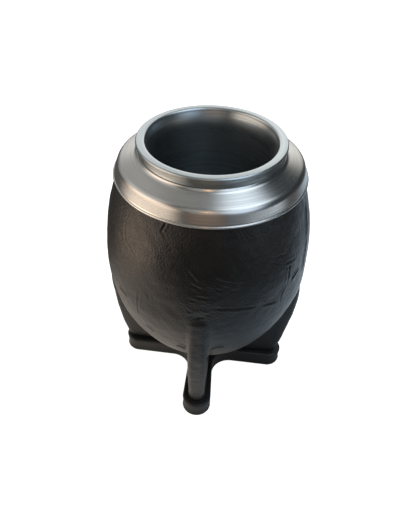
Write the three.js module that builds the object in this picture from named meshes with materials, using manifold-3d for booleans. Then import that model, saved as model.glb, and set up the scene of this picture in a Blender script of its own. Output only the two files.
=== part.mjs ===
// An empty mate cup on four radial legs: a turned aluminium cup with a lip and a shoulder ferrule,
// set in an egg-shaped body covered in black leather, whose four fin legs stand on a cross-shaped sole.
// Millimetres, +Z up. The origin is at the centre of the underside of the sole.
import * as THREE from 'three';
import { mergeVertices } from 'three/addons/utils/BufferGeometryUtils.js';
import Module from 'manifold-3d';

const wasm = await Module();
wasm.setup();

// Driving dimensions.
const overallHeight = 123;
const seam = 0.3;                  // clearance between pieces that touch
const turns = 56;                  // facets round a turned piece

const lipRadius = 28;
const lipRound = 1.0;              // rounding of the lip's outer edge
const lipInnerRound = 0.6;
const mouthRadius = 24.5;
const boreRadius = 23.8;
const flareDepth = 4.0;            // depth over which the mouth narrows to the bore
const cupDepth = 78;
const cupCornerRadius = 8;
const cupWall = 1.5;
const neckRadius = 27.2;
const neckLength = 3.9;            // from the lip's top to the ferrule's upper edge
const neckCove = 0.25;             // hollow of the cove between the neck and the lip
const collarLength = 5.7;          // from the lip's top to the step under the collar

const coveRadius = 28.1;           // foot of the ferrule's small cove round the neck
const coveDrop = 4.8;              // below the lip's top, as all drops are
const ridgeRadius = 35.0;          // where the cone and the skirt would meet if the ridge were sharp
const ridgeDrop = 7.8;
const ridgeReach = 1.6;            // length that the ridge's rounding takes from each of the two
const skirtRadius = 36.6;
const skirtDrop = 12.4;
const rimRadius = 37.1;
const rimDrop = 13.5;
const rimBead = 0.45;              // rounding of the rim's edge
const rimWidth = 0.9;              // thickness of the metal at the rim
const ferruleWall = 1.4;

const bodyRadius = 42.5;
const bodyWidestHeight = 71.4;
const lowerFullness = 0.785;       // exponent of the egg curve below the widest ring
const upperFullness = 0.5;
const upperReach = 69.3;           // half height of the upper curve, if it ran on to its tip
const lowerRings = 13;             // rings of facets below the widest ring
const upperRings = 7;              // and above it
const coverShow = 0.5;             // height of the last ring of cover that shows below the ferrule's rim
const coverTuck = 0.6;             // height above the rim at which the cover is turned in

const soleThickness = 8.2;
const soleReach = 39.9;
const soleEndRadius = 6.6;
const soleNeckHalfWidth = 5.95;
const soleFillet = 9.2;            // concave rounding between neighbouring arms
const soleEdge = 0.8;              // rounding of the sole's edges

const finThickness = 7.6;
const finEdge = 2.6;               // rounding along the fins' outer edges
const finTop = 74;                 // height at which a fin is lost in the body
const finNape = 43.0;              // radius and height of the point that bends its upper edge inwards
const finNapeHeight = 62;
const finSwell = 43.5;             // radius of the fin's outer edge where it is widest
const finSwellHeight = 47;
const finBelly = 42.9;             // radius and height of the point that bows the lower edge
const finBellyHeight = 29;
const finToe = 38.4;               // radius of the fin's outer edge at its foot
const finToeHeight = 11;
const finHeel = 35.8;              // radius at which the rolled foot meets the sole
const finSink = 1.2;               // how deep the fin's upper end lies in the body

// Directions of the legs in degrees, and how much further out each one's fin stands. The left leg was
// made 4 degrees askew and its fin a little deeper than the others.
const legs = [
  { direction: 0, extra: 0 },
  { direction: 90, extra: 0 },
  { direction: 176, extra: 1.4 },
  { direction: 270, extra: 0 },
];

// Facets: steps along the smaller curves.
const cornerSteps = 5;
const roundSteps = 3;
const beadSteps = 4;
const ridgeSteps = 6;
const coveSteps = 3;
const armSteps = 12;
const armSweep = 88;               // degrees that an arm's round end turns to each side
const filletSteps = 7;
const finEdgeSteps = 4;
const finCurveSteps = 7;
const soleEdgeSteps = 2;

// Materials.
const aluminium = new THREE.MeshStandardMaterial({ color: '#c3c3c0', roughness: 0.32, metalness: 1 });
const turnedBore = new THREE.MeshStandardMaterial({ color: '#8d9294', roughness: 0.42, metalness: 1 });
const leather = new THREE.MeshStandardMaterial({ color: '#1a1817', roughness: 0.5, metalness: 0 });
const rubber = new THREE.MeshStandardMaterial({ color: '#17181a', roughness: 0.7, metalness: 0 });

const point = (r, z) => new THREE.Vector2(r, z);

// Points on an arc round (r, z), from one angle to another in degrees, both ends included.
function arc(r, z, radius, from, to, steps) {
  const points = [];
  for (let i = 0; i <= steps; i += 1) {
    const angle = THREE.MathUtils.degToRad(from + ((to - from) * i) / steps);
    points.push(point(r + radius * Math.cos(angle), z + radius * Math.sin(angle)));
  }
  return points;
}

// Points between two ends, bowed to the left of the run by a given height; the ends are left out.
function bowed(start, end, height, steps) {
  const side = point(start.y - end.y, end.x - start.x).normalize();
  const points = [];
  for (let i = 1; i < steps; i += 1) {
    const t = i / steps;
    points.push(start.clone().lerp(end, t).addScaledVector(side, 4 * height * t * (1 - t)));
  }
  return points;
}

// A profile of radius and height, turned round the Z axis.
function turned(profile, segments = turns) {
  const geometry = new THREE.LatheGeometry(profile, segments);
  geometry.rotateX(Math.PI / 2);
  return geometry;
}

// A closed geometry as a manifold solid, with shared vertices merged and empty triangles dropped.
function solidOf(geometry) {
  const plain = geometry.clone();
  plain.deleteAttribute('normal');
  plain.deleteAttribute('uv');
  const merged = mergeVertices(plain, 1e-4);
  const index = merged.index.array;
  const kept = [];
  for (let i = 0; i < index.length; i += 3) {
    const [a, b, c] = [index[i], index[i + 1], index[i + 2]];
    if (a !== b && b !== c && c !== a) kept.push(a, b, c);
  }
  const vertProperties = new Float32Array(merged.attributes.position.array);
  return new wasm.Manifold(new wasm.Mesh({ numProp: 3, vertProperties, triVerts: new Uint32Array(kept) }));
}

function geometryOf(solid) {
  const mesh = solid.getMesh();
  const geometry = new THREE.BufferGeometry();
  geometry.setAttribute('position', new THREE.BufferAttribute(new Float32Array(mesh.vertProperties), 3));
  geometry.setIndex(new THREE.BufferAttribute(new Uint32Array(mesh.triVerts), 1));
  geometry.computeVertexNormals();
  return geometry;
}

function named(name, geometry, material) {
  const mesh = new THREE.Mesh(geometry, material);
  mesh.name = name;
  return mesh;
}

const top = overallHeight;
const floorHeight = top - cupDepth;
const boreEnd = floorHeight + cupCornerRadius;

// The cup: bore, flared mouth, flat lip, short neck and collar, in one turned piece.
function cupGeometry() {
  const outside = boreRadius + cupWall;
  const outerCorner = cupCornerRadius + cupWall;
  const neckFoot = point(neckRadius, top - neckLength);
  const lipFoot = point(lipRadius, top - lipRound);
  const profile = [
    point(0, floorHeight - cupWall),
    ...arc(outside - outerCorner, boreEnd, outerCorner, -90, 0, cornerSteps),
    point(outside, top - collarLength),
    point(neckRadius, top - collarLength),
    neckFoot,
    ...bowed(neckFoot, lipFoot, neckCove, roundSteps),
    ...arc(lipRadius - lipRound, top - lipRound, lipRound, 0, 90, roundSteps),
    ...arc(mouthRadius + lipInnerRound, top - lipInnerRound, lipInnerRound, 90, 180, roundSteps),
    point(boreRadius, top - flareDepth),
    ...arc(boreRadius - cupCornerRadius, boreEnd, cupCornerRadius, 0, -90, cornerSteps),
    point(0, floorHeight),
  ];
  return turned(profile);
}

// A corner cut by a quadratic curve, which starts and ends at a given reach from it.
function cutCorner(before, corner, after, reach, steps) {
  const start = corner.clone().add(before.clone().sub(corner).setLength(reach));
  const end = corner.clone().add(after.clone().sub(corner).setLength(reach));
  return new THREE.QuadraticBezierCurve(start, corner, end).getPoints(steps);
}

// The ferrule's shoulder as a line from the neck to the foot of the skirt, with a rounded ridge between.
// The inset moves the cone down and the skirt inwards, and the ridge is where the two then cross.
function shoulderLine(inset) {
  const fall = (ridgeDrop - coveDrop) / (ridgeRadius - coveRadius);
  const lean = (skirtRadius - ridgeRadius) / (skirtDrop - ridgeDrop);
  const lower = (-inset * (1 - fall)) / (1 - fall * lean);
  const ridge = point(ridgeRadius - inset - lean * lower, top - ridgeDrop + lower);
  const neckEdge = neckRadius + seam;
  const neck = point(neckEdge, ridge.y + fall * (ridge.x - neckEdge));
  const foot = point(skirtRadius - inset, top - skirtDrop);
  return [neck, ...cutCorner(neck, ridge, foot, ridgeReach, ridgeSteps), foot];
}

// The ferrule: a small cove at the neck, a cone with a rounded ridge, and a skirt with a rolled rim.
function ferruleGeometry() {
  const rimHeight = top - rimDrop + rimBead;
  const inside = shoulderLine(ferruleWall);
  const outside = shoulderLine(0).slice(1).reverse();
  const ridgeStart = outside[outside.length - 1];
  const upper = point(neckRadius + seam, top - neckLength);
  const cove = point(coveRadius, top - coveDrop);
  const coveReach = cove.distanceTo(upper) / 2;
  return turned([
    ...inside,
    point(rimRadius - rimWidth, top - rimDrop),
    ...arc(rimRadius - rimBead, rimHeight, rimBead, -90, 60, beadSteps),
    ...outside,
    ...cutCorner(ridgeStart, cove, upper, coveReach, coveSteps),
    upper,
    inside[0],
  ]);
}

// The egg curve: radius = greatest radius times (1 - t²) to a power, t being the share of the half
// height that lies between the widest ring and the given height.
function bodyRadiusAt(z) {
  const above = z > bodyWidestHeight;
  const reach = above ? upperReach : bodyWidestHeight - soleThickness - seam;
  const t = (z - bodyWidestHeight) / reach;
  return bodyRadius * Math.max(1 - t * t, 0) ** (above ? upperFullness : lowerFullness);
}

// The leather body without its fins, solid down to its tip and up to the underside of the collar.
function eggGeometry() {
  const bottom = soleThickness + seam;
  const coverTop = top - rimDrop;
  const profile = [point(0, bottom)];
  for (let i = 1; i <= lowerRings; i += 1) {
    // Rings lie closer together towards the tip, where the curve turns quickest.
    const z = bottom + (bodyWidestHeight - bottom) * (1 - Math.cos((Math.PI / 2) * (i / lowerRings)));
    profile.push(point(bodyRadiusAt(z), z));
  }
  for (let i = 1; i <= upperRings; i += 1) {
    const z = bodyWidestHeight + (coverTop - coverShow - bodyWidestHeight) * (i / upperRings);
    profile.push(point(bodyRadiusAt(z), z));
  }
  profile.push(point(skirtRadius - ferruleWall - seam, coverTop + coverTuck));
  profile.push(...shoulderLine(ferruleWall + seam).reverse());
  profile.push(point(neckRadius, top - collarLength - seam));
  profile.push(point(0, top - collarLength - seam));
  return turned(profile);
}

// The hollow that holds the cup, one seam wider than the cup all round.
function cavityGeometry() {
  const outside = boreRadius + cupWall + seam;
  const corner = cupCornerRadius + cupWall + seam;
  const profile = [
    point(0, floorHeight - cupWall - seam),
    ...arc(outside - corner, boreEnd, corner, -90, 0, cornerSteps),
    point(outside, top),
    point(0, top),
  ];
  return turned(profile);
}

// One fin: its side view, drawn in radius and height, extruded across its thickness with rounded edges.
// The extra sets its outer edge further out, but for its upper end, which sinks into the body.
function finGeometry(extra) {
  const bottom = soleThickness + seam;
  const out = extra - finEdge;
  const outline = new THREE.Shape();
  outline.moveTo(finEdge, bottom + finEdge);
  outline.lineTo(finHeel + out, bottom + finEdge);
  outline.quadraticCurveTo(finToe + out, bottom + finEdge, finToe + out, finToeHeight + finEdge);
  outline.quadraticCurveTo(finBelly + out, finBellyHeight, finSwell + out, finSwellHeight);
  outline.quadraticCurveTo(finNape + out, finNapeHeight, bodyRadius - finSink - finEdge, finTop);
  outline.lineTo(finEdge, finTop);
  outline.closePath();
  const geometry = new THREE.ExtrudeGeometry(outline, {
    depth: finThickness - 2 * finEdge,
    bevelEnabled: true,
    bevelThickness: finEdge,
    bevelSize: finEdge,
    bevelSegments: finEdgeSteps,
    curveSegments: finCurveSteps,
  });
  geometry.translate(0, 0, finEdge - finThickness / 2);
  geometry.rotateX(Math.PI / 2);
  return geometry;
}

// The leather cover: the egg, joined with its fins and hollowed for the cup.
function leatherGeometry() {
  let body = solidOf(eggGeometry());
  for (const { direction, extra } of legs) {
    body = body.add(solidOf(finGeometry(extra).rotateZ(THREE.MathUtils.degToRad(direction))));
  }
  return geometryOf(body.subtract(solidOf(cavityGeometry())));
}

// The sole: four round-ended arms joined by concave fillets, extruded with rounded edges.
function soleGeometry() {
  const outline = [];
  const endRadius = soleEndRadius - soleEdge;
  const filletRadius = soleFillet + soleEdge;
  legs.forEach(({ direction }, i) => {
    const next = legs[(i + 1) % legs.length];
    const between = (next.direction - direction + 360) % 360;
    const angle = THREE.MathUtils.degToRad(direction);
    for (const p of arc(soleReach - soleEndRadius, 0, endRadius, -armSweep, armSweep, armSteps)) {
      outline.push(p.rotateAround(point(0, 0), angle));
    }
    // A fillet's centre lies midway between two arms, as far out as makes it touch both.
    const middle = direction + between / 2;
    const halfway = THREE.MathUtils.degToRad(between / 2);
    const distance = (soleNeckHalfWidth - soleEdge + filletRadius) / Math.sin(halfway);
    const sweep = 90 - between / 2;
    const centre = point(distance, 0).rotateAround(point(0, 0), THREE.MathUtils.degToRad(middle));
    const facing = middle + 180;
    outline.push(...arc(centre.x, centre.y, filletRadius, facing + sweep, facing - sweep, filletSteps));
  });
  const geometry = new THREE.ExtrudeGeometry(new THREE.Shape(outline), {
    depth: soleThickness - 2 * soleEdge,
    bevelEnabled: true,
    bevelThickness: soleEdge,
    bevelSize: soleEdge,
    bevelSegments: soleEdgeSteps,
  });
  geometry.translate(0, 0, soleEdge);
  return geometry;
}

const cup = new THREE.Group();
cup.add(named('cup_liner', cupGeometry(), turnedBore));
cup.add(named('ferrule', ferruleGeometry(), aluminium));
cup.add(named('leather_body', leatherGeometry(), leather));
cup.add(named('sole', soleGeometry(), rubber));

export default cup;
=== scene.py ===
"""An empty mate cup on four fin legs: turned metal cup and ferrule, black leather body, rubber sole.

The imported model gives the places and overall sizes. Shapes are worked out in millimetres, as surfaces on
a grid of two parameters, and put into meshes in metres. The origin is at the centre of the sole's
underside, +Z runs up the cup's axis, and the front leg stands along -Y.
"""

from __future__ import annotations

import logging
import math
from dataclasses import dataclass
from enum import Enum
from typing import Mapping, Sequence

import bpy
import numpy as np
from mathutils import Matrix, Vector

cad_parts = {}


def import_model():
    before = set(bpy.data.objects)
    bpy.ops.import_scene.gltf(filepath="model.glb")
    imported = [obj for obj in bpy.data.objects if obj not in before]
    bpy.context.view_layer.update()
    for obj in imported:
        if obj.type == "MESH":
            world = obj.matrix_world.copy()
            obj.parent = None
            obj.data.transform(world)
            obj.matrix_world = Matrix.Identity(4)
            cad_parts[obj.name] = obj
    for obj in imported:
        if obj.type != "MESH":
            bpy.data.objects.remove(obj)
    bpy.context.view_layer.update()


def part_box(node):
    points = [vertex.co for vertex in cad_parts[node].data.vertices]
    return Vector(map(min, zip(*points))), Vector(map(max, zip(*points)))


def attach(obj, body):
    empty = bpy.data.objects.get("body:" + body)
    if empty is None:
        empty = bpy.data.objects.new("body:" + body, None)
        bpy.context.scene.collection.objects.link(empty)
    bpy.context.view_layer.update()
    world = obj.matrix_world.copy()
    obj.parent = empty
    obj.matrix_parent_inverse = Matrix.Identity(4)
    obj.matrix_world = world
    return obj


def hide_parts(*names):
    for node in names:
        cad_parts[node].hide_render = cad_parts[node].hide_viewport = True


LOG = logging.getLogger("mate_cup")
BODY = "root"
MM = 0.001
TAU = 2.0 * math.pi
X, Y, Z = 0, 1, 2
WHITE = (1.0, 1.0, 1.0, 1.0)
# Gap between neighbouring pieces, in millimetres.
SEAM = 0.3
# The range that a noise texture seldom leaves.
NOISE_LOW, NOISE_HIGH = 0.3, 0.7
# Steps along the curve that cuts a corner.
CORNER_STEPS = 12


@dataclass(frozen=True)
class Leg:
    """A leg's direction in degrees, and how much further out its fin stands than the others."""

    turn: float
    extra: float = 0.0


LEGS = (Leg(0.0), Leg(90.0), Leg(176.0, 1.4), Leg(270.0))


class Slot(Enum):
    """The record's material slots."""

    CUP = "turned_aluminium"
    FERRULE = "brushed_aluminium"
    LEATHER = "black_leather"
    SOLE = "black_rubber"


def linear(hex_colour: str) -> tuple[float, float, float, float]:
    """Turns an sRGB hex colour into linear RGBA.

    Args:
        hex_colour: six hexadecimal digits, with or without a leading hash.

    Returns:
        Linear red, green and blue, and an alpha of one.
    """
    digits = hex_colour.lstrip("#")
    channels = [int(digits[i : i + 2], 16) / 255.0 for i in (0, 2, 4)]
    curve = [c / 12.92 if c <= 0.04045 else ((c + 0.055) / 1.055) ** 2.4 for c in channels]
    return (*curve, 1.0)


def smoothstep(low: float, high: float, value: np.ndarray) -> np.ndarray:
    """Rises smoothly from 0 at low to 1 at high, by the cubic 3t² - 2t³."""
    t = np.clip((value - low) / (high - low), 0.0, 1.0)
    return t * t * (3.0 - 2.0 * t)


def smooth_union(a: np.ndarray, b: np.ndarray, radius: float) -> np.ndarray:
    """Joins two distance fields with a fillet: the smaller one, less a parabola where they are close."""
    h = np.clip(0.5 + 0.5 * (b - a) / radius, 0.0, 1.0)
    return b + (a - b) * h - radius * h * (1.0 - h)


def angle_between(a: np.ndarray, b: float) -> np.ndarray:
    """The signed angle in degrees from direction b to direction a, from -180 to 180."""
    return (a - b + 180.0) % 360.0 - 180.0


class SoftNoise:
    """Smooth noise in space, a seeded sum of plane waves whose directions are spread over the sphere."""

    def __init__(self, seed: int, waves: int = 28) -> None:
        """Draws the waves' directions, pitches and phases.

        Args:
            seed: seed of the random draw.
            waves: how many waves are summed.
        """
        draw = np.random.default_rng(seed)
        heading = draw.normal(size=(waves, 3))
        heading /= np.linalg.norm(heading, axis=1, keepdims=True)
        self.vectors = heading * draw.uniform(0.6, 1.6, size=(waves, 1))
        self.phases = draw.uniform(0.0, TAU, size=waves)

    def __call__(self, points: np.ndarray, pitch: Sequence[float]) -> np.ndarray:
        """Samples the noise.

        Args:
            points: (..., 3) places in millimetres.
            pitch: wavelength in millimetres along X, Y and Z.

        Returns:
            (...) values of about unit spread.
        """
        scaled = points / np.asarray(pitch, dtype=float) * TAU
        total = np.zeros(points.shape[:-1])
        for vector, phase in zip(self.vectors, self.phases):
            total += np.sin(scaled @ vector + phase)
        return total * math.sqrt(2.0 / len(self.phases))


def surface_normals(points: np.ndarray) -> np.ndarray:
    """Unit normals of a grid whose columns run round and close, from the cross of its two differences.

    Args:
        points: (rows, columns, 3) grid.

    Returns:
        (rows, columns, 3) unit vectors, column direction crossed with row direction.
    """
    along = np.gradient(points, axis=0)
    across = (np.roll(points, -1, axis=1) - np.roll(points, 1, axis=1)) / 2.0
    normal = np.cross(across, along)
    length = np.linalg.norm(normal, axis=2, keepdims=True)
    return normal / np.maximum(length, 1e-12)


def mesh_object(
    name: str, vertices: np.ndarray, faces: Sequence[Sequence[int]], uvs: np.ndarray | None = None
) -> bpy.types.Object:
    """Makes a smooth-shaded object at the origin from points in millimetres.

    Args:
        name: the piece's name.
        vertices: (n, 3) points in millimetres.
        faces: vertex indices of each face, turning anticlockwise seen from outside.
        uvs: (n, 2) map coordinates, one pair for each vertex, or None for no map.

    Returns:
        The linked object.
    """
    mesh = bpy.data.meshes.new(name)
    mesh.from_pydata((vertices * MM).tolist(), [], [tuple(f) for f in faces])
    mesh.polygons.foreach_set("use_smooth", np.ones(len(mesh.polygons), dtype=bool))
    if uvs is not None:
        corner = np.empty(len(mesh.loops), dtype=np.int32)
        mesh.loops.foreach_get("vertex_index", corner)
        layer = mesh.uv_layers.new(name="turn")
        layer.data.foreach_set("uv", uvs[corner].astype(np.float32).ravel())
    mesh.update()
    thing = bpy.data.objects.new(name, mesh)
    bpy.context.scene.collection.objects.link(thing)
    return thing


def closed_surface(
    name: str, rows: np.ndarray, first: Sequence[float], last: Sequence[float]
) -> bpy.types.Object:
    """Closes a grid that runs round the axis with a point at each end.

    Rows go from the lowest outside ring over the top and down inside, columns anticlockwise seen from
    above, so that every face points outwards.

    Args:
        name: the piece's name.
        rows: (rows, columns, 3) points in millimetres.
        first: the pole before the first row.
        last: the pole after the last row.

    Returns:
        The linked object.
    """
    count, around = rows.shape[:2]
    vertices = np.vstack([rows.reshape(-1, 3), [first], [last]])
    index = np.arange(count * around).reshape(count, around)
    right = np.roll(index, -1, axis=1)
    quads = np.stack([index[:-1], right[:-1], right[1:], index[1:]], axis=-1).reshape(-1, 4)
    foot, head = count * around, count * around + 1
    bottom = [(foot, int(b), int(a)) for a, b in zip(index[0], right[0])]
    top = [(head, int(a), int(b)) for a, b in zip(index[-1], right[-1])]
    turn = np.tile(np.arange(around) / around, count)
    run = np.repeat(np.arange(count) / count, around)
    uvs = np.vstack([np.column_stack([turn, run]), [[0.5, 0.0]], [[0.5, 1.0]]])
    return mesh_object(name, vertices, quads.tolist() + bottom + top, uvs)


def ring_surface(name: str, rows: np.ndarray) -> bpy.types.Object:
    """Closes a grid that runs round the axis by joining its last row to its first, as a hollow ring.

    Args:
        name: the piece's name.
        rows: (rows, columns, 3) points in millimetres, the section run anticlockwise with the axis on
            its left, columns anticlockwise seen from above.

    Returns:
        The linked object.
    """
    count, around = rows.shape[:2]
    index = np.arange(count * around).reshape(count, around)
    right = np.roll(index, -1, axis=1)
    above = np.roll(index, -1, axis=0)
    corner = np.roll(right, -1, axis=0)
    quads = np.stack([index, right, corner, above], axis=-1).reshape(-1, 4)
    turn = np.tile(np.arange(around) / around, count)
    run = np.repeat(np.arange(count) / count, around)
    return mesh_object(name, rows.reshape(-1, 3), quads.tolist(), np.column_stack([turn, run]))


def arc(centre: tuple[float, float], radius: float, start: float, end: float, steps: int) -> np.ndarray:
    """Points on an arc in the plane of radius and height, ends included, angles in degrees."""
    angle = np.radians(np.linspace(start, end, steps + 1))
    return np.column_stack([centre[0] + radius * np.cos(angle), centre[1] + radius * np.sin(angle)])


def bowed(start: Sequence[float], end: Sequence[float], height: float, steps: int) -> np.ndarray:
    """Points of a parabola between two ends, bulging to the left of the run; the ends are left out.

    Args:
        start: radius and height of the first end.
        end: radius and height of the last end.
        height: how far the middle bulges, in millimetres.
        steps: how many steps the curve has.

    Returns:
        (steps - 1, 2) points.
    """
    first, last = np.asarray(start, dtype=float), np.asarray(end, dtype=float)
    t = (np.arange(1, steps) / steps)[:, None]
    run = last - first
    side = np.array([-run[1], run[0]]) / np.linalg.norm(run)
    return first + run * t + side * 4.0 * height * t * (1.0 - t)


def cut_corner(before: np.ndarray, corner: np.ndarray, after: np.ndarray, reach: float) -> np.ndarray:
    """Points of a quadratic curve that cuts a corner, from a reach before it to a reach after it.

    Args:
        before: a point on the line into the corner.
        corner: the corner.
        after: a point on the line out of it.
        reach: distance from the corner at which the curve starts and ends, in millimetres.

    Returns:
        (n, 2) points.
    """
    start = corner + reach * (before - corner) / np.linalg.norm(before - corner)
    end = corner + reach * (after - corner) / np.linalg.norm(after - corner)
    t = np.linspace(0.0, 1.0, CORNER_STEPS + 1)[:, None]
    return (1.0 - t) ** 2 * start + 2.0 * t * (1.0 - t) * corner + t**2 * end


def divided(path: np.ndarray, spacing: float) -> np.ndarray:
    """Adds points along a path's long stretches, and keeps the points that it has.

    Args:
        path: (n, 2) points.
        spacing: greatest distance between neighbours.

    Returns:
        (m, 2) points.
    """
    pieces = [path[:1]]
    for a, b in zip(path[:-1], path[1:]):
        steps = max(1, math.ceil(float(np.linalg.norm(b - a)) / spacing))
        share = np.arange(1, steps + 1)[:, None] / steps
        pieces.append(a + (b - a) * share)
    return np.vstack(pieces)


def swept(profile: np.ndarray, turns: np.ndarray) -> np.ndarray:
    """Turns a profile of radius and height round the Z axis into a grid of points.

    Args:
        profile: (rows, 2) radius and height.
        turns: (columns) directions in degrees.

    Returns:
        (rows, columns, 3) points.
    """
    angle = np.radians(turns)
    x = profile[:, :1] * np.cos(angle)
    y = profile[:, :1] * np.sin(angle)
    z = np.broadcast_to(profile[:, 1:2], x.shape)
    return np.stack([x, y, z], axis=-1)


def add_node(
    tree: bpy.types.NodeTree, kind: str, inputs: Mapping[str | int, object] | None = None, **settings: object
) -> bpy.types.Node:
    """Adds a node with its settings, and sets or links its inputs.

    Args:
        tree: the node tree.
        kind: the node's type name.
        inputs: socket name or index, with a value to set or an output socket to link.
        settings: the node's own properties.

    Returns:
        The new node.
    """
    node = tree.nodes.new(kind)
    for key, value in settings.items():
        setattr(node, key, value)
    for socket, value in (inputs or {}).items():
        if isinstance(value, bpy.types.NodeSocket):
            tree.links.new(value, node.inputs[socket])
        else:
            node.inputs[socket].default_value = value
    return node


def new_material(name: str) -> tuple[bpy.types.Material, bpy.types.NodeTree, bpy.types.Node]:
    """Makes an empty node material with its output and a Principled shader.

    Args:
        name: the material's name.

    Returns:
        The material, its node tree and its shader.
    """
    material = bpy.data.materials.new(name)
    material.use_nodes = True
    tree = material.node_tree
    tree.nodes.clear()
    shader = add_node(tree, "ShaderNodeBsdfPrincipled")
    add_node(tree, "ShaderNodeOutputMaterial", {"Surface": shader.outputs["BSDF"]})
    return material, tree, shader


def vary_finish(
    tree: bpy.types.NodeTree,
    shader: bpy.types.Node,
    colour_share: bpy.types.NodeSocket,
    colours: tuple[str, str],
    roughness_noise: bpy.types.NodeSocket,
    roughness: tuple[float, float],
) -> None:
    """Lets a shader's colour and roughness wander, each between two values.

    Args:
        tree: the node tree.
        shader: the Principled shader.
        colour_share: how much of the second colour shows, from 0 to 1.
        colours: the two colours in hex.
        roughness_noise: the noise that the roughness follows.
        roughness: the roughness at the noise's low end and at its high end.
    """
    blend = {0: colour_share, 6: linear(colours[0]), 7: linear(colours[1])}
    colour = add_node(tree, "ShaderNodeMix", blend, data_type="RGBA").outputs[2]
    tree.links.new(colour, shader.inputs["Base Color"])
    span = {0: roughness_noise, 1: NOISE_LOW, 2: NOISE_HIGH, 3: roughness[0], 4: roughness[1]}
    rough = add_node(tree, "ShaderNodeMapRange", span).outputs[0]
    tree.links.new(rough, shader.inputs["Roughness"])


@dataclass(frozen=True)
class TurnedMetal:
    """Aluminium cut on a lathe and left with its tool rings, or brushed as it turned.

    Fine rings round the axis widen a reflection across them, so lights fan out along the radius. Each
    ring catches a little more or less light than the next. Pitches and depths are in millimetres, and
    the reach is in cells a radian round the turn.
    """

    name: str
    colour: str
    dull_colour: str
    roughness: float
    spread: float
    ring_pitch: float
    ring_depth: float
    ring_reach: float
    band_pitch: float
    band_depth: float
    anisotropy: float
    pits: float
    band_share: float = 0.45
    pit_spacing: float = 5.0
    pit_core: float = 0.03
    pit_rim: float = 0.09

    def material(self) -> bpy.types.Material:
        """Builds the material.

        Rings are noise in four dimensions, drawn out along the turn: two are the direction round the
        axis, times few cells a radian, and two are the radius and height, over the ring pitch.

        Returns:
            The node material.
        """
        material, tree, shader = new_material(self.name)
        coordinates = add_node(tree, "ShaderNodeTexCoord").outputs["Object"]
        level = add_node(
            tree, "ShaderNodeVectorMath", {0: coordinates, 1: (1.0, 1.0, 0.0)}, operation="MULTIPLY"
        ).outputs[0]
        height = add_node(tree, "ShaderNodeSeparateXYZ", {0: coordinates}).outputs["Z"]
        radius = add_node(tree, "ShaderNodeVectorMath", {0: level}, operation="LENGTH").outputs["Value"]
        facing = add_node(tree, "ShaderNodeVectorMath", {0: level}, operation="NORMALIZE").outputs[0]
        rings = self.ring_noise(tree, facing, radius, height, self.ring_pitch, self.ring_reach)
        bands = self.ring_noise(tree, facing, radius, height, self.band_pitch, self.ring_reach)
        both = add_node(
            tree, "ShaderNodeMix", {0: self.band_share, 2: rings, 3: bands}, data_type="FLOAT"
        ).outputs[0]
        ends = (self.roughness + self.spread, self.roughness - self.spread)
        vary_finish(tree, shader, both, (self.dull_colour, self.colour), both, ends)
        shader.inputs["Metallic"].default_value = 1.0
        shader.inputs["Anisotropic"].default_value = self.anisotropy
        # The tangent runs round the turn; a quarter turn of it puts the wide way across the rings.
        shader.inputs["Anisotropic Rotation"].default_value = 0.25
        tangent = add_node(tree, "ShaderNodeTangent", direction_type="UV_MAP", uv_map="turn")
        tree.links.new(tangent.outputs[0], shader.inputs["Tangent"])
        broad = add_node(
            tree, "ShaderNodeBump", {"Height": bands, "Distance": self.band_depth * MM}
        ).outputs[0]
        grooves = add_node(
            tree, "ShaderNodeBump", {"Height": rings, "Distance": self.ring_depth * MM, "Normal": broad}
        ).outputs[0]
        tree.links.new(self.pitted(tree, coordinates, grooves), shader.inputs["Normal"])
        return material

    @staticmethod
    def ring_noise(
        tree: bpy.types.NodeTree,
        facing: bpy.types.NodeSocket,
        radius: bpy.types.NodeSocket,
        height: bpy.types.NodeSocket,
        pitch: float,
        reach: float,
    ) -> bpy.types.NodeSocket:
        """Adds one layer of rings.

        Args:
            tree: the node tree.
            facing: unit vector from the axis.
            radius: distance from the axis in metres.
            height: height in metres.
            pitch: spacing of the rings in millimetres.
            reach: cells a radian round the turn; fewer make longer rings.

        Returns:
            The noise, from 0 to 1.
        """
        spread = add_node(
            tree, "ShaderNodeVectorMath", {0: facing, "Scale": reach}, operation="SCALE"
        ).outputs[0]
        cells = 1.0 / (pitch * MM)
        out = add_node(tree, "ShaderNodeMath", {0: radius, 1: cells}, operation="MULTIPLY").outputs[0]
        up = add_node(tree, "ShaderNodeMath", {0: height, 1: cells}, operation="MULTIPLY").outputs[0]
        lift = add_node(tree, "ShaderNodeCombineXYZ", {"Z": out}).outputs[0]
        place = add_node(tree, "ShaderNodeVectorMath", {0: spread, 1: lift}, operation="ADD").outputs[0]
        noise = add_node(
            tree,
            "ShaderNodeTexNoise",
            {"Vector": place, "W": up, "Scale": 1.0, "Detail": 2.0, "Roughness": 0.55},
            noise_dimensions="4D",
        )
        return noise.outputs[0]

    def pitted(
        self, tree: bpy.types.NodeTree, coordinates: bpy.types.NodeSocket, normal: bpy.types.NodeSocket
    ) -> bpy.types.NodeSocket:
        """Adds sparse small nicks, the wear of handling, one in each cell of the nicks' spacing.

        Args:
            tree: the node tree.
            coordinates: object coordinates.
            normal: the normal so far.

        Returns:
            The normal with nicks.
        """
        cells = add_node(
            tree, "ShaderNodeTexVoronoi", {"Vector": coordinates, "Scale": 1.0 / (self.pit_spacing * MM)}
        )
        dent = add_node(
            tree,
            "ShaderNodeMapRange",
            {0: cells.outputs["Distance"], 1: self.pit_core, 2: self.pit_rim, 3: 0.0, 4: 1.0},
            interpolation_type="SMOOTHSTEP",
        ).outputs[0]
        return add_node(
            tree,
            "ShaderNodeBump",
            {"Height": dent, "Strength": 1.0, "Distance": self.pits * MM, "Normal": normal},
        ).outputs[0]


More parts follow.
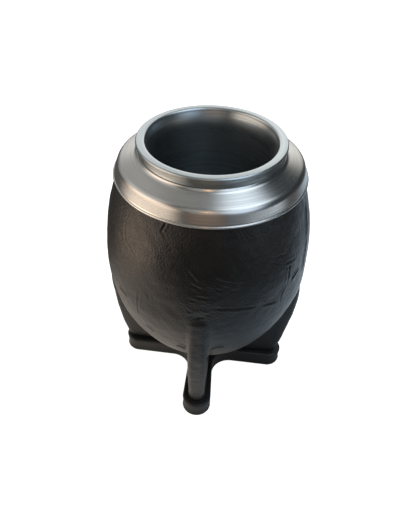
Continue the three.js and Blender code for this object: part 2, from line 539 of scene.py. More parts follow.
@dataclass(frozen=True)
class GrainLeather:
    """Aniline-dyed black cowhide, stretched wet over its form and waxed.

    Pebble grain breaks a highlight into small sparks, the wax gives a soft sheen that is duller in the
    stretched places, and handling leaves faint scuffs. Pitches and depths are in millimetres. The real
    pores are finer than the pitch here, which is the finest that the render shows.
    """

    colour: str = "#0a0a0a"
    worn_colour: str = "#121110"
    roughness: float = 0.36
    spread: float = 0.07
    specular: float = 0.5
    pebble: float = 0.7
    pebble_depth: float = 0.1
    pore: float = 0.35
    pore_depth: float = 0.05
    pore_share: float = 0.35
    warp_pitch: float = 2.4
    warp_reach: float = 0.6
    patch: float = 14.0
    worn_from: float = 0.42
    worn_to: float = 0.72
    scuff_pitch: float = 2.2
    scuff_stretch: float = 0.12
    scuff_depth: float = 0.03

    def material(self) -> bpy.types.Material:
        """Builds the material: two depths of grain, patches of wear and long faint scuffs.

        Returns:
            The node material.
        """
        material, tree, shader = new_material("black_leather")
        coordinates = add_node(tree, "ShaderNodeTexCoord").outputs["Object"]
        patches = add_node(
            tree,
            "ShaderNodeTexNoise",
            {"Vector": coordinates, "Scale": 1.0 / (self.patch * MM), "Detail": 4.0, "Roughness": 0.6},
        ).outputs[0]
        warp = add_node(
            tree,
            "ShaderNodeTexNoise",
            {"Vector": coordinates, "Scale": 1.0 / (self.warp_pitch * MM), "Detail": 2.0},
        ).outputs["Color"]
        shift = add_node(
            tree, "ShaderNodeVectorMath", {0: warp, "Scale": self.warp_reach * MM}, operation="SCALE"
        ).outputs[0]
        place = add_node(
            tree, "ShaderNodeVectorMath", {0: coordinates, 1: shift}, operation="ADD"
        ).outputs[0]
        pebbles = add_node(
            tree,
            "ShaderNodeTexVoronoi",
            {"Vector": place, "Scale": 1.0 / (self.pebble * MM), "Smoothness": 0.5},
            feature="SMOOTH_F1",
        ).outputs["Distance"]
        pores = add_node(
            tree,
            "ShaderNodeTexNoise",
            {"Vector": coordinates, "Scale": 1.0 / (self.pore * MM), "Detail": 2.0},
        ).outputs[0]
        worn = add_node(
            tree, "ShaderNodeMapRange", {0: patches, 1: self.worn_from, 2: self.worn_to}
        ).outputs[0]
        dulled = add_node(
            tree, "ShaderNodeMix", {0: self.pore_share, 2: patches, 3: pores}, data_type="FLOAT"
        ).outputs[0]
        ends = (self.roughness - self.spread, self.roughness + self.spread)
        vary_finish(tree, shader, worn, (self.colour, self.worn_colour), dulled, ends)
        shader.inputs["Specular IOR Level"].default_value = self.specular
        grain = add_node(
            tree,
            "ShaderNodeBump",
            {"Height": pebbles, "Strength": 1.0, "Distance": self.pebble_depth * MM},
            invert=True,
        ).outputs[0]
        fine = add_node(
            tree,
            "ShaderNodeBump",
            {"Height": pores, "Strength": 1.0, "Distance": self.pore_depth * MM, "Normal": grain},
        ).outputs[0]
        tree.links.new(self.scuffed(tree, coordinates, fine), shader.inputs["Normal"])
        return material

    def scuffed(
        self, tree: bpy.types.NodeTree, coordinates: bpy.types.NodeSocket, normal: bpy.types.NodeSocket
    ) -> bpy.types.NodeSocket:
        """Adds long thin scuffs, the crests of a noise that is drawn out along one slanting way.

        Args:
            tree: the node tree.
            coordinates: object coordinates.
            normal: the normal so far.

        Returns:
            The normal with scuffs.
        """
        slant = {
            "Vector": coordinates,
            "Rotation": (0.5, 0.3, 0.7),
            "Scale": (1.0, self.scuff_stretch, 1.0),
        }
        turned = add_node(tree, "ShaderNodeMapping", slant).outputs[0]
        cells = {"Vector": turned, "Scale": 1.0 / (self.scuff_pitch * MM), "Detail": 1.0}
        noise = add_node(tree, "ShaderNodeTexNoise", cells).outputs[0]
        crest = add_node(
            tree, "ShaderNodeMapRange", {0: noise, 1: 0.66, 2: 0.72}, interpolation_type="SMOOTHSTEP"
        ).outputs[0]
        return add_node(
            tree,
            "ShaderNodeBump",
            {"Height": crest, "Strength": 0.6, "Distance": self.scuff_depth * MM, "Normal": normal},
            invert=True,
        ).outputs[0]


@dataclass(frozen=True)
class MouldedRubber:
    """Moulded black rubber, matt from the mould, with faint mould grain and dusty patches.

    Pitches and depths are in millimetres.
    """

    colour: str = "#0f1112"
    dusty_colour: str = "#222324"
    roughness: float = 0.5
    spread: float = 0.07
    specular: float = 0.4
    grain: float = 0.35
    grain_depth: float = 0.02
    patch: float = 9.0

    def material(self) -> bpy.types.Material:
        """Builds the material.

        Returns:
            The node material.
        """
        material, tree, shader = new_material("black_rubber")
        coordinates = add_node(tree, "ShaderNodeTexCoord").outputs["Object"]
        patches = add_node(
            tree,
            "ShaderNodeTexNoise",
            {"Vector": coordinates, "Scale": 1.0 / (self.patch * MM), "Detail": 3.0},
        ).outputs[0]
        grain = add_node(
            tree,
            "ShaderNodeTexNoise",
            {"Vector": coordinates, "Scale": 1.0 / (self.grain * MM), "Detail": 2.0},
        ).outputs[0]
        ends = (self.roughness - self.spread, self.roughness + self.spread)
        vary_finish(tree, shader, patches, (self.colour, self.dusty_colour), patches, ends)
        shader.inputs["Specular IOR Level"].default_value = self.specular
        bump = add_node(
            tree,
            "ShaderNodeBump",
            {"Height": grain, "Strength": 1.0, "Distance": self.grain_depth * MM},
        ).outputs[0]
        tree.links.new(bump, shader.inputs["Normal"])
        return material


TURNED_BORE = TurnedMetal(
    name="turned_aluminium",
    colour="#d4dadc",
    dull_colour="#7d888e",
    roughness=0.3,
    spread=0.05,
    ring_pitch=0.5,
    ring_depth=0.016,
    ring_reach=0.35,
    band_pitch=1.4,
    band_depth=0.045,
    anisotropy=0.5,
    pits=0.0,
)
BRUSHED_SHOULDER = TurnedMetal(
    name="brushed_aluminium",
    colour="#e2e1de",
    dull_colour="#a9a8a4",
    roughness=0.24,
    spread=0.07,
    ring_pitch=0.45,
    ring_depth=0.006,
    ring_reach=0.8,
    band_pitch=1.2,
    band_depth=0.012,
    anisotropy=0.45,
    pits=0.05,
)


def dressed(thing: bpy.types.Object, material: bpy.types.Material, node: str) -> None:
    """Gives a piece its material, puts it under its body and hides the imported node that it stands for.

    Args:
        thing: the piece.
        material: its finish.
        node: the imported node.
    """
    thing.data.materials.append(material)
    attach(thing, BODY)
    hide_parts(node)
    LOG.info("%s: %d faces", thing.name, len(thing.data.polygons))


@dataclass
class CupLiner:
    """The turned cup: bore, flared mouth, flat lip, short neck and collar."""

    top: float
    lip_radius: float
    floor: float
    lip_round: float = 0.7
    inner_round: float = 0.9
    mouth_radius: float = 24.5
    bore_radius: float = 23.2
    flare_depth: float = 7.0
    flare_bend: float = 2.4
    corner: float = 8.0
    wall: float = 1.5
    neck_radius: float = 27.3
    neck_length: float = 3.9
    neck_cove: float = 0.3
    collar_length: float = 5.7
    collar_chamfer: float = 0.15
    floor_steps: int = 10
    neck_steps: int = 8
    lip_steps: int = 9
    inner_steps: int = 6
    flare_steps: int = 12
    corner_steps: int = 12
    around: int = 224
    spacing: float = 2.5

    def profile(self) -> np.ndarray:
        """The cup's section from the axis under its floor, up outside, over the lip and down the bore.

        The mouth flares by a power of the height above the flare's foot.

        Returns:
            (n, 2) radii and heights.
        """
        outside = self.bore_radius + self.wall
        outer_corner = self.corner + self.wall
        bore_end = self.floor + self.wall + self.corner
        neck_foot = (self.neck_radius, self.top - self.neck_length)
        lip_foot = (self.lip_radius, self.top - self.lip_round)
        lip = (self.lip_radius - self.lip_round, self.top - self.lip_round)
        mouth = (self.mouth_radius + self.inner_round, self.top - self.inner_round)
        depth = np.linspace(0.0, 1.0, self.flare_steps + 1)[1:]
        flare = self.bore_radius + (self.mouth_radius - self.bore_radius) * (1.0 - depth) ** self.flare_bend
        flare_height = self.top - self.inner_round - self.flare_depth * depth
        collar = self.top - self.collar_length
        path = np.vstack(
            [
                [(0.0, self.floor)],
                arc((outside - outer_corner, bore_end), outer_corner, -90.0, 0.0, self.floor_steps),
                [(outside, collar)],
                [(self.neck_radius - self.collar_chamfer, collar)],
                [(self.neck_radius, collar + self.collar_chamfer)],
                [neck_foot],
                bowed(neck_foot, lip_foot, self.neck_cove, self.neck_steps),
                arc(lip, self.lip_round, 0.0, 90.0, self.lip_steps),
                arc(mouth, self.inner_round, 90.0, 180.0, self.inner_steps),
                np.column_stack([flare, flare_height]),
                arc((self.bore_radius - self.corner, bore_end), self.corner, 0.0, -90.0, self.corner_steps),
                [(0.0, self.floor + self.wall)],
            ]
        )
        return divided(path, self.spacing)

    def build(self) -> None:
        """Turns the profile and dresses it."""
        profile = self.profile()
        turns = np.arange(self.around) / self.around * 360.0
        rows = swept(profile[1:-1], turns)
        poles = [(0.0, 0.0, float(profile[i, 1])) for i in (0, -1)]
        thing = closed_surface("cup", rows, poles[0], poles[1])
        dressed(thing, TURNED_BORE.material(), "cup_liner")


@dataclass
class Ferrule:
    """The thin metal shoulder over the leather's edge, rounded into a short skirt with a small rim."""

    top: float
    foot: float
    rim_radius: float
    neck_radius: float = 27.48
    upper_drop: float = 3.9
    cove_radius: float = 28.1
    cove_drop: float = 4.8
    cove_reach: float = 0.8
    ridge_radius: float = 35.0
    ridge_drop: float = 7.8
    ridge_reach: float = 1.5
    skirt_radius: float = 36.6
    skirt_drop: float = 12.4
    bead: float = 0.45
    rim_width: float = 0.9
    rim_lift: float = 0.05
    wall: float = 1.4
    bead_end: float = 100.0
    bead_steps: int = 10
    skirt_spacing: float = 0.4
    cone_spacing: float = 0.5
    cone_end: float = 0.2
    around: int = 256

    def shoulder_line(self, inset: float) -> np.ndarray:
        """The cone from the neck and the skirt below it, both moved in by an inset, their ridge rounded.

        The cone falls by a share of its run and moves down, the skirt leans out by a share of its drop
        and moves inwards, and the ridge is where the two lines then cross.

        Args:
            inset: how far the two lines move, in millimetres.

        Returns:
            (n, 2) radii and heights, from the neck to the foot of the skirt.
        """
        fall = (self.ridge_drop - self.cove_drop) / (self.ridge_radius - self.cove_radius)
        lean = (self.skirt_radius - self.ridge_radius) / (self.skirt_drop - self.ridge_drop)
        lower = -inset * (1.0 - fall) / (1.0 - fall * lean)
        ridge = np.array([self.ridge_radius - inset - lean * lower, self.top - self.ridge_drop + lower])
        rise = fall * (ridge[0] - self.neck_radius)
        neck = np.array([self.neck_radius, ridge[1] + rise])
        foot = np.array([self.skirt_radius - inset, self.top - self.skirt_drop])
        return np.vstack([[neck], cut_corner(neck, ridge, foot, self.ridge_reach), [foot]])

    def section(self) -> np.ndarray:
        """The ferrule's section: rim, up the outside to the neck, and down under the shoulder.

        Returns:
            (n, 2) radii and heights, the run closed from its last point to its first.
        """
        bead_centre = (self.rim_radius - self.bead, self.foot + self.bead)
        outside = divided(self.shoulder_line(0.0)[1:], self.skirt_spacing)
        upper = np.array([self.neck_radius, self.top - self.upper_drop])
        cove = np.array([self.cove_radius, self.top - self.cove_drop])
        cone = np.array([outside[0], cove + (outside[0] - cove) * self.cone_end])
        return np.vstack(
            [
                arc(bead_centre, self.bead, -90.0, self.bead_end, self.bead_steps),
                outside[::-1],
                divided(cone, self.cone_spacing)[1:],
                cut_corner(outside[0], cove, upper, self.cove_reach),
                [upper],
                self.shoulder_line(self.wall),
                [(self.rim_radius - self.rim_width, self.foot + self.rim_lift)],
            ]
        )

    def build(self) -> None:
        """Turns the section into a closed ring and dresses it."""
        turns = np.arange(self.around) / self.around * 360.0
        thing = ring_surface("ferrule_ring", swept(self.section(), turns))
        dressed(thing, BRUSHED_SHOULDER.material(), "ferrule")


@dataclass(frozen=True)
class Crease:
    """A fold in the leather, from one place to another, each a direction in degrees and a height.

    It bows sideways from the straight run, and its groove has a depth and a width, in millimetres.
    """

    start: tuple[float, float]
    end: tuple[float, float]
    bow: float = 0.0
    depth: float = 0.3
    width: float = 0.42


@dataclass(frozen=True)
class PhotoView:
    """The camera fitted to the photo: place and aim in metres, roll in degrees, the rest in pixels."""

    place: tuple[float, float, float] = (0.00845, -0.16686, 0.21117)
    aim: tuple[float, float, float] = (-0.00537, -0.00045, 0.05486)
    roll: float = 1.3657
    focal: float = 500.0
    width: float = 416.0
    height: float = 520.0
    shift: float = 14.0

    def turn(self) -> Matrix:
        """The camera's turn: it looks along its -Z at the aim and rolls about that line.

        Returns:
            A 4 by 4 matrix.
        """
        facing = (Vector(self.aim) - Vector(self.place)).to_track_quat("-Z", "Y").to_matrix().to_4x4()
        return facing @ Matrix.Rotation(math.radians(self.roll), 4, "Z")

    def ray(self, pixel: tuple[float, float]) -> np.ndarray:
        """The direction in which the camera sees a pixel, with a length of 1 along its line of sight.

        Args:
            pixel: column and row in the photo.

        Returns:
            A direction in the part's frame.
        """
        across = (pixel[0] - self.width / 2.0 + self.shift) / self.focal
        upward = (self.height / 2.0 + self.shift - pixel[1]) / self.focal
        return np.array(self.turn().to_3x3() @ Vector((across, upward, -1.0)))


MM_PER_METRE = 1000.0


@dataclass(frozen=True)
class Traced:
    """A crease picked on the photo: its start, middle and end in pixels.

    Its groove has a depth and a width, and it runs past both ends by the overrun, in millimetres.
    """

    start: tuple[float, float]
    middle: tuple[float, float]
    end: tuple[float, float]
    depth: float
    width: float = 0.42
    overrun: float = 0.0


class SeenCrease(Enum):
    """The creases that the photo shows, each named after its place there."""

    BELLY_LONG = Traced((212.0, 309.0), (237.0, 309.0), (257.0, 306.0), 0.42)
    BELLY_TAIL = Traced((263.0, 305.0), (270.0, 304.0), (278.0, 301.5), 0.4)
    FRONT_ARC = Traced((215.5, 280.0), (226.0, 283.3), (247.0, 284.0), 0.36)
    FRONT_DASH_LEFT = Traced((216.0, 290.0), (219.0, 290.7), (222.0, 291.0), 0.25)
    FRONT_DASH_RIGHT = Traced((231.0, 291.0), (233.0, 291.0), (236.0, 291.0), 0.2)
    RIGHT_TOP = Traced((264.0, 257.0), (272.0, 258.5), (276.0, 258.0), 0.36)
    RIGHT_TOP_TAIL = Traced((277.0, 257.0), (281.0, 256.0), (286.0, 255.5), 0.36)
    RIGHT_BEND = Traced((271.0, 263.5), (276.0, 263.5), (282.0, 267.0), 0.36)
    RIGHT_BEND_TAIL = Traced((282.0, 267.0), (287.0, 267.5), (291.0, 266.5), 0.24)
    RIGHT_RISE = Traced((284.0, 264.5), (290.0, 261.0), (296.0, 258.0), 0.3)
    RIGHT_DASH = Traced((258.0, 274.0), (261.0, 274.5), (265.0, 275.0), 0.2)
    FRONT_HIGH = Traced((224.0, 267.0), (232.0, 268.0), (240.0, 269.0), 0.16)
    FRONT_HIGH_DROP = Traced((241.0, 270.0), (239.5, 275.0), (238.0, 279.0), 0.16)
    RIGHT_UPRIGHT = Traced((290.0, 262.0), (288.5, 275.0), (287.0, 284.0), 0.26)
    RIGHT_UPRIGHT_FOOT = Traced((287.0, 284.0), (283.0, 291.0), (281.0, 303.0), 0.26)
    RIGHT_SPUR = Traced((299.0, 267.0), (295.0, 274.0), (291.0, 280.0), 0.36)
    RIGHT_EDGE_HIGH = Traced((306.0, 205.0), (306.5, 220.0), (306.5, 235.0), 0.4, overrun=1.1)
    RIGHT_EDGE_LOW = Traced((306.0, 240.0), (304.5, 255.0), (302.0, 268.0), 0.4, overrun=1.6)
    PINCH_UPPER = Traced((166.0, 223.0), (163.0, 228.0), (161.0, 231.5), 0.5, width=0.36)
    PINCH_LOWER = Traced((161.0, 231.5), (163.0, 234.0), (165.0, 237.0), 0.5, width=0.36)
    LEFT_UPRIGHT = Traced((125.0, 223.0), (124.5, 232.0), (125.0, 241.0), 0.24, overrun=0.5)
    LEFT_SLANT = Traced((127.0, 243.0), (133.0, 255.0), (140.0, 268.0), 0.24)
    LEFT_EDGE = Traced((114.0, 222.0), (117.0, 226.0), (120.0, 230.0), 0.24)
    LEFT_DASH_HIGH = Traced((131.0, 241.0), (133.0, 244.0), (135.0, 247.0), 0.24)
    LEFT_DASH_LOW = Traced((126.0, 272.0), (128.0, 274.0), (130.0, 276.0), 0.24)
    LEFT_LOW = Traced((119.0, 286.0), (123.0, 291.0), (128.0, 297.0), 0.4)
    LEFT_LINE = Traced((139.0, 294.0), (138.0, 303.0), (140.0, 315.0), 0.22, overrun=1.3)
    LEFT_LINE_DASH = Traced((147.0, 294.0), (148.0, 297.0), (149.0, 300.0), 0.16)
    LEFT_FOOT = Traced((144.0, 324.0), (150.0, 328.0), (155.0, 333.0), 0.3)
    OVER_FIN_TOP = Traced((187.0, 272.0), (192.0, 278.0), (198.0, 285.0), 0.34)
    OVER_FIN_SECOND = Traced((191.0, 285.0), (196.0, 288.0), (202.0, 291.0), 0.32)
    OVER_FIN_THIRD = Traced((195.0, 297.0), (201.0, 298.5), (208.0, 299.5), 0.34)
    OVER_FIN_THIRD_DASH = Traced((190.0, 300.0), (193.0, 301.0), (196.0, 301.5), 0.24)
    OVER_FIN_SPECK = Traced((187.0, 311.0), (189.0, 311.5), (191.0, 312.0), 0.2)
    OVER_FIN_LOW = Traced((194.0, 319.0), (200.0, 318.5), (208.0, 317.0), 0.26)
    OVER_FIN_LOW_DASH = Traced((202.0, 315.0), (206.0, 315.5), (210.0, 315.5), 0.24)
    FIN_FOOT_LEFT = Traced((176.0, 345.0), (181.0, 346.2), (186.0, 348.5), 0.5, width=0.7)
    FIN_FOOT_RIGHT = Traced((211.0, 348.5), (215.0, 346.5), (225.0, 346.8), 0.5, width=0.7)


@dataclass(frozen=True)
class Unevenness:
    """Soft unevenness of the leather: its noise's seed, its depth and its wavelengths, in millimetres."""

    seed: int
    depth: float
    pitch: tuple[float, float, float]

    def __call__(self, points: np.ndarray) -> np.ndarray:
        """The relief in millimetres at (..., 3) points."""
        return self.depth * SoftNoise(self.seed)(points, self.pitch)


@dataclass
class LeatherBody:
    """The egg-shaped body and its four fin legs under one leather cover, hollow for the cup.

    Sizes are in millimetres and turns in degrees. A pair of numbers gives where an effect starts and
    where it is full. The pairs of fin_sink and fin_end count from the fins' top, relief_foot from their
    toe, relief_head from the ferrule's foot, and wrinkle_foot and wrinkle_head from the ground;
    wrinkle_face is in turns from a leg, and wrinkle_proud is how far the leather stands off the egg.
    Legs whose direction comes before back_turns start a span at the back.
    """

    top: float
    sole_top: float
    cup: CupLiner
    cover: Ferrule
    radius: float = 42.5
    widest: float = 71.4
    lower_fullness: float = 0.785
    upper_fullness: float = 0.5
    upper_reach: float = 69.3
    fin_swell: float = 43.2
    fin_swell_height: float = 47.0
    fin_nape: float = 0.6
    fin_nape_height: float = 57.0
    fin_toe: float = 37.9
    fin_toe_height: float = 11.0
    fin_heel: float = 35.6
    fin_fullness: float = 1.6
    fin_top: float = 70.0
    fin_sink: float = 6.0
    fin_sink_span: tuple[float, float] = (-3.0, 5.0)
    fin_end: float = 20.0
    fin_end_span: tuple[float, float] = (2.0, 22.0)
    fin_half: float = 3.75
    fin_edge: float = 2.2
    fin_foot_edge: float = 3.6
    fin_foot_height: float = 18.0
    fillet: float = 1.3
    row_spacing: float = 0.58
    roll_rows: int = 7
    front_step: float = 0.72
    side_radii: tuple[float, float] = (38.0, 14.0)
    side_step: float = 0.7
    side_margin: float = 0.1
    edge_columns: int = 10
    back_turns: float = 175.0
    bottom_gap: float = 0.1
    top_gap: float = 0.2
    search_radius: float = 60.0
    search_halvings: int = 26
    unrolled_radius: float = 42.0
    fold_fade: tuple[float, float] = (-0.08, 0.25)
    fold_lip: float = 0.45
    fold_lip_place: float = 2.1
    fold_lip_width: float = 1.1
    spare_seed: int = 5
    unevenness: tuple[Unevenness, ...] = (
        Unevenness(11, 0.13, (30.0, 30.0, 24.0)),
        Unevenness(12, 0.03, (6.0, 6.0, 5.0)),
    )
    wobble: Unevenness = Unevenness(13, 1.0, (9.0, 9.0, 7.0))
    wrinkle_pitch: float = 2.1
    wrinkle_wander: float = 0.35
    wrinkle_depth: float = 0.04
    wrinkle_proud: tuple[float, float] = (0.6, 2.5)
    wrinkle_face: tuple[float, float] = (4.2, 6.2)
    wrinkle_foot: tuple[float, float] = (14.0, 22.0)
    wrinkle_head: tuple[float, float] = (64.0, 70.0)
    dent_turn: float = 0.8
    dent_half_turn: float = 4.0
    dent_lift: float = 1.5
    dent_half_height: float = 1.8
    dent_depth: float = 0.4
    relief_foot: tuple[float, float] = (-1.0, 2.0)
    relief_head: tuple[float, float] = (-1.6, -0.3)
    sight_depths: tuple[float, float, float] = (60.0, 330.0, 0.05)

    def egg_radius(self, height: np.ndarray) -> np.ndarray:
        """Radius of the body without fins: greatest radius times (1 - t²) to a power.

        t is the share of the half height between the widest ring and the given height. The lower half
        runs to a tip on the sole, the upper half is part of a longer curve.

        Args:
            height: heights in millimetres.

        Returns:
            Radii in millimetres.
        """
        lower = (height - self.widest) / (self.widest - self.sole_top - SEAM)
        upper = (height - self.widest) / self.upper_reach
        below = np.clip(1.0 - lower**2, 0.0, 1.0) ** self.lower_fullness
        above = np.clip(1.0 - upper**2, 0.0, 1.0) ** self.upper_fullness
        return self.radius * np.where(height < self.widest, below, above)

    def roll(self, height: np.ndarray) -> np.ndarray:
        """The rolled foot: rises from 0 at the underside to 1 at the toe's height as a quarter circle.

        Args:
            height: heights in millimetres.

        Returns:
            Shares from 0 to 1.
        """
        bottom = self.sole_top + SEAM
        left = np.clip((self.fin_toe_height - height) / (self.fin_toe_height - bottom), 0.0, 1.0)
        return np.sqrt(1.0 - left**2)

    def fin_reach(self, height: np.ndarray) -> np.ndarray:
        """Distance of a fin's outer edge from the axis.

        It swells from the toe by a power of the remaining height, draws in a little at its nape, sinks
        into the body at its top and ends inside it; below the toe it rolls under to the heel.

        Args:
            height: heights in millimetres.

        Returns:
            Radii in millimetres.
        """
        span = self.fin_swell_height - self.fin_toe_height
        left = np.clip((self.fin_swell_height - height) / span, 0.0, 1.0)
        reach = self.fin_swell - (self.fin_swell - self.fin_toe) * left**self.fin_fullness
        reach = reach - (self.fin_toe - self.fin_heel) * (1.0 - self.roll(height))
        reach = reach - self.fin_nape * smoothstep(self.fin_swell_height, self.fin_nape_height, height)
        above = height - self.fin_top
        sunk = self.fin_sink * smoothstep(*self.fin_sink_span, above)
        return reach - sunk - self.fin_end * smoothstep(*self.fin_end_span, above)

    def distance(self, radius: np.ndarray, turn: np.ndarray, height: np.ndarray) -> np.ndarray:
        """Distance to the cover: the egg and four upright rounded slabs, joined with a fillet.

        Each slab's edges are rounded more and more towards its foot.

        Args:
            radius: distances from the axis.
            turn: directions in degrees.
            height: heights in millimetres.

        Returns:
            Negative inside, about the distance in millimetres near the surface.
        """
        egg = self.egg_radius(height)
        step = 0.05
        slope = (self.egg_radius(height + step) - self.egg_radius(height - step)) / (2.0 * step)
        total = (radius - egg) / np.sqrt(1.0 + slope**2)
        reach = self.fin_reach(height)
        foot = 1.0 - smoothstep(self.sole_top, self.fin_foot_height, height)
        edge = self.fin_edge + (self.fin_foot_edge - self.fin_edge) * foot
        for leg in LEGS:
            offset = np.radians(angle_between(turn, leg.turn))
            out = radius * np.cos(offset) - (reach + leg.extra - edge)
            side = np.abs(radius * np.sin(offset)) - (self.fin_half - edge)
            corner = np.hypot(np.maximum(out, 0.0), np.maximum(side, 0.0))
            slab = corner + np.minimum(np.maximum(out, side), 0.0) - edge
            ahead = np.where(np.cos(offset) > 0.0, slab, reach)
            total = smooth_union(total, ahead, self.fillet)
        return total

    def turns(self) -> np.ndarray:
        """Directions of the grid's columns: close on the fins' edges and sides, and fewer at the back.

        Beside a fin a ray at angle a leaves its side at radius half / sin(a), so the angles there are
        those of even steps of radius. The two spans at the back keep only every other column.

        Returns:
            Directions in degrees, rising from 0 to 360.
        """
        radii = np.arange(*self.side_radii, -self.side_step)
        side = np.degrees(np.arcsin((self.fin_half + self.side_margin) / radii))
        edge = np.linspace(0.0, side[0], self.edge_columns + 1)[:-1]
        found: list[float] = []
        for i, leg in enumerate(LEGS):
            span = (LEGS[(i + 1) % len(LEGS)].turn - leg.turn) % 360.0
            middle = span / 2.0
            count = math.ceil((middle - side[-1]) / self.front_step)
            rest = np.linspace(side[-1], middle, count + 1)[1:]
            half = np.concatenate([edge, side, rest])
            if leg.turn < self.back_turns:
                half = np.append(half[:-1:2], half[-1])
            mirrored = span - half[:-1][::-1]
            found.extend(leg.turn + np.concatenate([half, mirrored[:-1]]))
        return np.array(found) % 360.0

    def cover_rows(self, turns: np.ndarray) -> np.ndarray:
        """The visible cover as a grid, each point found by halving steps along its ray from the axis.

        Args:
            turns: directions of the columns.

        Returns:
            (rows, columns, 3) points from the flat underside to the ferrule's rim.
        """
        bottom = self.sole_top + self.bottom_gap
        quarter = np.linspace(0.0, math.pi / 2.0, self.roll_rows + 1)[:-1]
        rolled = self.fin_toe_height - (self.fin_toe_height - bottom) * np.cos(quarter)
        straight = self.top - self.top_gap - self.fin_toe_height
        even = np.linspace(0.0, straight, math.ceil(straight / self.row_spacing) + 1)
        heights = np.concatenate([rolled, self.fin_toe_height + even])
        height, turn = np.meshgrid(heights, turns, indexing="ij")
        low = np.zeros_like(height)
        high = np.full_like(height, self.search_radius)
        for _ in range(self.search_halvings):
            middle = (low + high) / 2.0
            inside = self.distance(middle, turn, height) < 0.0
            low = np.where(inside, middle, low)
            high = np.where(inside, high, middle)
        radius = (low + high) / 2.0
        angle = np.radians(turn)
        return np.stack([radius * np.cos(angle), radius * np.sin(angle), height], axis=-1)

    def crease_relief(self, crease: Crease, turn: np.ndarray, height: np.ndarray) -> np.ndarray:
        """Relief of one fold: a groove with a raised lip each side, fading towards its ends.

        Places are unrolled to arc length and height. The nearest point of the straight run gives the
        share t along it, the run is bowed by a parabola in t, and the distance across sets the relief.

        Args:
            crease: the fold.
            turn: directions in degrees.
            height: heights in millimetres.

        Returns:
            Relief in millimetres, negative in the groove.
        """
        scale = math.radians(1.0) * self.unrolled_radius
        across = angle_between(turn, crease.start[0]) * scale
        up = height - crease.start[1]
        run = np.array(
            [
                float(angle_between(np.array(crease.end[0]), crease.start[0])) * scale,
                crease.end[1] - crease.start[1],
            ]
        )
        length = float(np.linalg.norm(run))
        along = (across * run[0] + up * run[1]) / length
        t = along / length
        bow = 4.0 * crease.bow * t * (1.0 - t)
        off = (up * run[0] - across * run[1]) / length - bow * np.sign(run[0])
        fade = smoothstep(*self.fold_fade, t) * smoothstep(*self.fold_fade, 1.0 - t)
        groove = np.exp(-((off / crease.width) ** 2))
        beside = np.abs(off) - self.fold_lip_place * crease.width
        lips = np.exp(-((beside / (self.fold_lip_width * crease.width)) ** 2))
        return crease.depth * fade * (self.fold_lip * lips - groove)

    def place_seen(self, pixel: tuple[float, float]) -> np.ndarray:
        """Where the photo's camera sees a pixel on the body, leaving out the fins.

        Args:
            pixel: column and row in the photo.

        Returns:
            A direction in degrees and a height in millimetres.

        Raises:
            ValueError: the pixel doesn't lie on the body.
        """
        view = PhotoView()
        depths = np.arange(*self.sight_depths)
        points = MM_PER_METRE * np.array(view.place) + depths[:, None] * view.ray(pixel)
        outside = np.hypot(points[:, 0], points[:, 1]) > self.egg_radius(points[:, 2])
        if outside.all():
            raise ValueError(f"pixel {pixel} doesn't lie on the body")
        first = points[np.argmin(outside)]
        return np.array([math.degrees(math.atan2(first[1], first[0])), first[2]])

    def seen_creases(self) -> list[Crease]:
        """The creases of the photo, brought onto the body through the photo's camera.

        Returns:
            The creases.
        """
        found = []
        scale = np.array([math.radians(1.0) * self.radius, 1.0])
        for seen in SeenCrease:
            traced = seen.value
            start, middle, end = map(self.place_seen, (traced.start, traced.middle, traced.end))
            run = (end - start) * scale
            length = np.hypot(*run)
            side = np.array([-run[1], run[0]]) / length * np.sign(run[0])
            bow = ((middle - start) * scale) @ side
            past = traced.overrun * run / length / scale
            found.append(Crease(tuple(start - past), tuple(end + past), bow, traced.depth, traced.width))
        return found

    def spare_creases(self) -> list[Crease]:
        """Folds like the visible ones for the sides that the photo doesn't show, by a seeded draw.

        Returns:
            The folds, one for each step of the turn.
        """
        draw = np.random.default_rng(self.spare_seed)
        found: list[Crease] = []
        for turn in np.arange(8.0, 172.0, 11.0):
            start = (turn + draw.uniform(-4.0, 4.0), draw.uniform(70.0, 100.0))
            reach = draw.uniform(5.0, 18.0)
            end = (start[0] + reach, start[1] + draw.uniform(-5.0, 2.0))
            found.append(Crease(start, end, draw.uniform(-0.6, 0.8), draw.uniform(0.2, 0.38)))
        return found

    def relief(self, rows: np.ndarray, turns: np.ndarray) -> np.ndarray:
        """Height of the leather above its smooth form: unevenness, folds, fin wrinkles and dents.

        The wrinkles are sine waves of the height, and stronger and weaker with the wobble. It all fades
        out at the foot and under the ferrule.

        Args:
            rows: the cover's grid.
            turns: directions of its columns.

        Returns:
            (rows, columns) relief in millimetres.
        """
        height = rows[..., 2]
        turn = np.broadcast_to(turns, height.shape)
        radius = np.hypot(rows[..., 0], rows[..., 1])
        total = sum(part(rows) for part in self.unevenness)
        for crease in (*self.seen_creases(), *self.spare_creases()):
            total += self.crease_relief(crease, turn, height)
        wobble = self.wobble(rows)
        waves = np.sin(TAU * (height / self.wrinkle_pitch + self.wrinkle_wander * wobble))
        wrinkles = waves * np.clip(0.4 + 0.5 * wobble, 0.0, 1.2)
        proud = smoothstep(*self.wrinkle_proud, radius - self.egg_radius(height))
        low = smoothstep(*self.wrinkle_foot, height) * (1.0 - smoothstep(*self.wrinkle_head, height))
        up = (height - self.fin_top - self.dent_lift) / self.dent_half_height
        for leg in LEGS:
            offset = angle_between(turn, leg.turn)
            face = 1.0 - smoothstep(*self.wrinkle_face, np.abs(offset))
            total += self.wrinkle_depth * wrinkles * proud * face * low
            across = (offset - self.dent_turn) / self.dent_half_turn
            total -= self.dent_depth * np.exp(-(across**2 + up**2))
        edge = smoothstep(*self.relief_foot, height - self.fin_toe_height)
        under = smoothstep(*self.relief_head, height - self.top)
        return total * edge * (1.0 - under)

